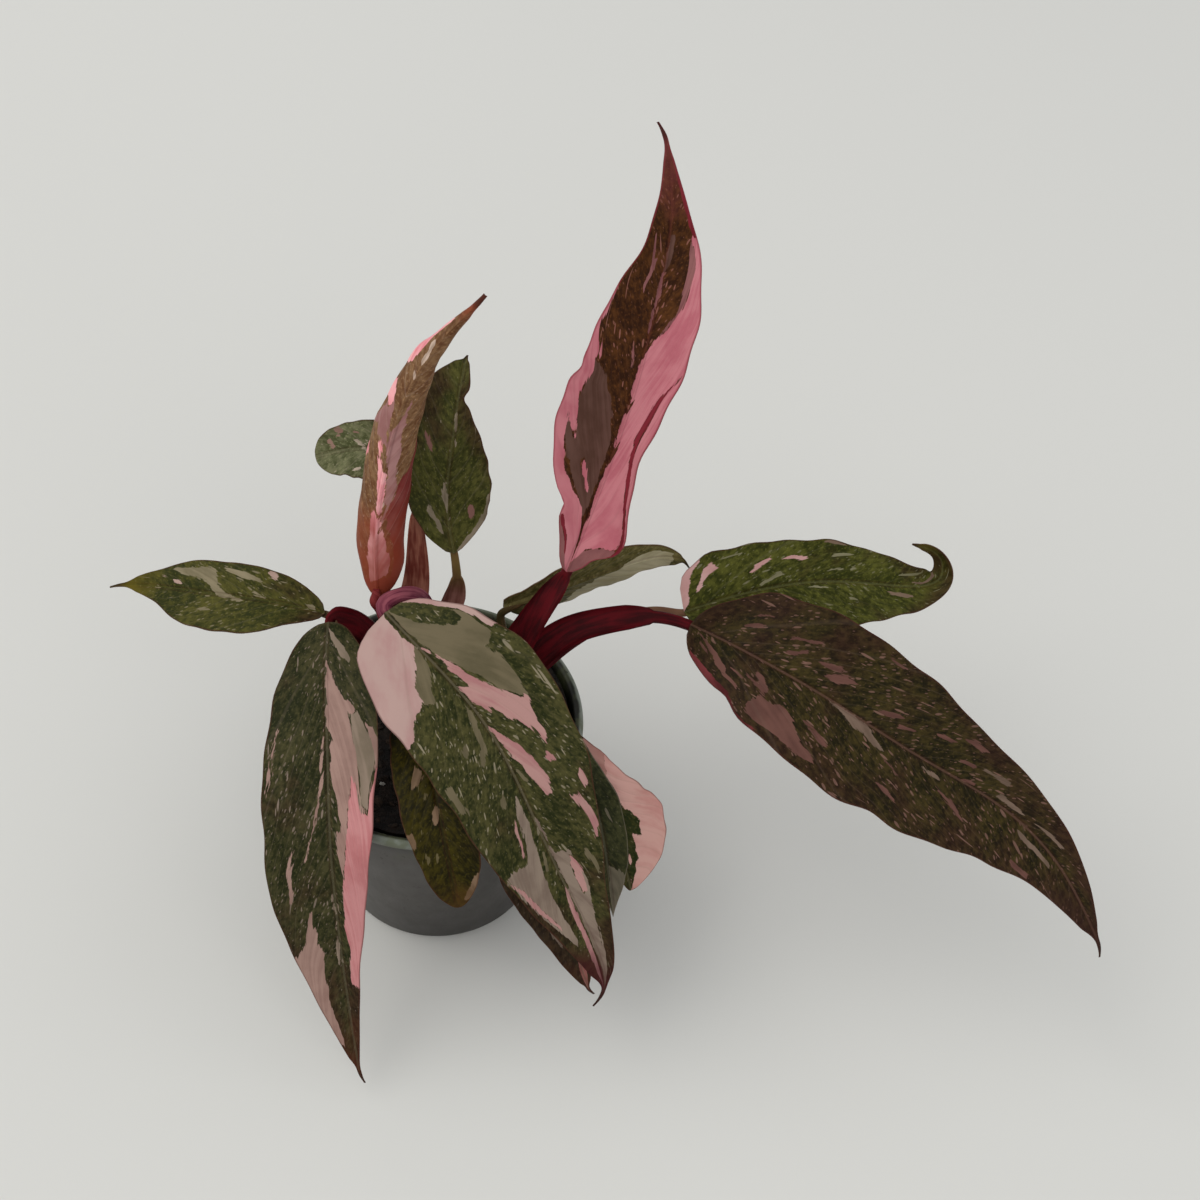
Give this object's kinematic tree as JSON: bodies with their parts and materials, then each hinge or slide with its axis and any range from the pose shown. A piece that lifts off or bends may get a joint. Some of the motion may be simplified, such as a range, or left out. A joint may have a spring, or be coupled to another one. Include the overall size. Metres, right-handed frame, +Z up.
{
  "type": "potted foliage plant",
  "caption": "Young pink princess philodendron in a small round nursery pot: pink, bronze and green variegated pointed leaves spreading over the rim from short stems.",
  "frame": {"origin": "centre of the pot's flat base", "axes": "+Z up from the base, -Y towards the front, where the longest leaves hang over the rim, +X towards the plant's right-hand side"},
  "size_m": [0.207, 0.1151, 0.16],
  "materials": {
    "pot_plastic": "satin",
    "soil_mix": "rough",
    "stem_left_skin": "satin",
    "stem_right_skin": "satin",
    "leaf_top_crimson_skin": "satin",
    "leaf_new_rolled_skin": "satin",
    "leaf_back_upright_skin": "satin",
    "leaf_back_small_skin": "satin",
    "leaf_left_skin": "satin",
    "leaf_front_left_skin": "satin",
    "leaf_front_large_skin": "satin",
    "leaf_front_low_skin": "satin",
    "leaf_front_under_skin": "satin",
    "leaf_right_dark_skin": "satin",
    "leaf_right_pink_skin": "satin",
    "leaf_right_large_skin": "satin",
    "leaf_right_upper_skin": "satin",
    "leaf_back_pale_skin": "satin"
  },
  "bodies": {
    "root": {"pot": "pot_plastic", "soil": "soil_mix", "stem_left": "stem_left_skin", "stem_right": "stem_right_skin", "leaf_top_crimson": "leaf_top_crimson_skin", "leaf_new_rolled": "leaf_new_rolled_skin", "leaf_back_upright": "leaf_back_upright_skin", "leaf_back_small": "leaf_back_small_skin", "leaf_left": "leaf_left_skin", "leaf_front_left": "leaf_front_left_skin", "leaf_front_large": "leaf_front_large_skin", "leaf_front_low": "leaf_front_low_skin", "leaf_front_under": "leaf_front_under_skin", "leaf_right_dark": "leaf_right_dark_skin", "leaf_right_pink": "leaf_right_pink_skin", "leaf_right_large": "leaf_right_large_skin", "leaf_right_upper": "leaf_right_upper_skin", "leaf_back_pale": "leaf_back_pale_skin"}
  },
  "joints": []
}
